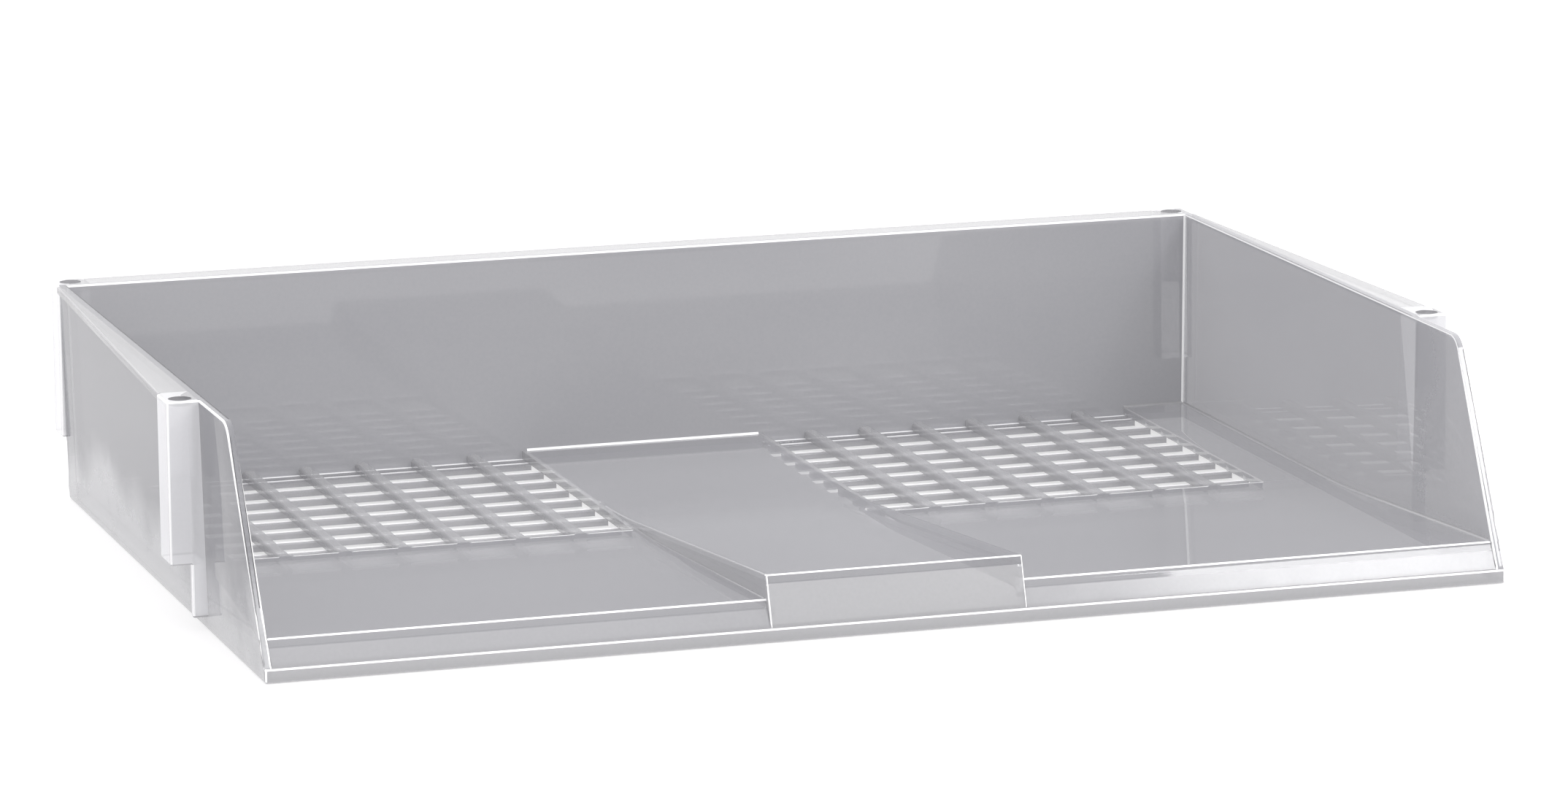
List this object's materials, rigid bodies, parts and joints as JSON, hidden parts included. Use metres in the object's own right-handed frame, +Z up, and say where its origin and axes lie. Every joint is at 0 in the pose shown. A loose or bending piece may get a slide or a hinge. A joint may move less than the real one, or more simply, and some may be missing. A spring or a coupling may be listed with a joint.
{
  "type": "letter tray",
  "caption": "Clear wide-entry letter tray with an open front, vented floor, raised centre deck and corner sockets for stacking risers.",
  "frame": {"origin": "middle of the base rectangle, on the desk plane", "axes": "+X to the user's right across the entry, +Y to the back wall, -Y towards the user and the open front, +Z up"},
  "size_m": [0.38, 0.264, 0.065],
  "materials": {
    "clear_polystyrene": "gloss"
  },
  "bodies": {
    "root": {"back_ledge": "clear_polystyrene", "back_wall": "clear_polystyrene", "centre_deck": "clear_polystyrene", "front_rim": "clear_polystyrene", "label_face": "clear_polystyrene", "left_deck_flank": "clear_polystyrene", "left_floor_margin": "clear_polystyrene", "left_floor_ramp": "clear_polystyrene", "left_front_face": "clear_polystyrene", "left_front_riser_post": "clear_polystyrene", "left_grid_bars": "clear_polystyrene", "left_grid_ribs": "clear_polystyrene", "left_post_web": "clear_polystyrene", "left_rear_riser_post": "clear_polystyrene", "left_side_ledge": "clear_polystyrene", "left_side_wall": "clear_polystyrene", "right_deck_flank": "clear_polystyrene", "right_floor_margin": "clear_polystyrene", "right_floor_ramp": "clear_polystyrene", "right_front_face": "clear_polystyrene", "right_front_riser_post": "clear_polystyrene", "right_grid_bars": "clear_polystyrene", "right_grid_ribs": "clear_polystyrene", "right_post_web": "clear_polystyrene", "right_rear_riser_post": "clear_polystyrene", "right_side_ledge": "clear_polystyrene", "right_side_wall": "clear_polystyrene"}
  },
  "joints": []
}
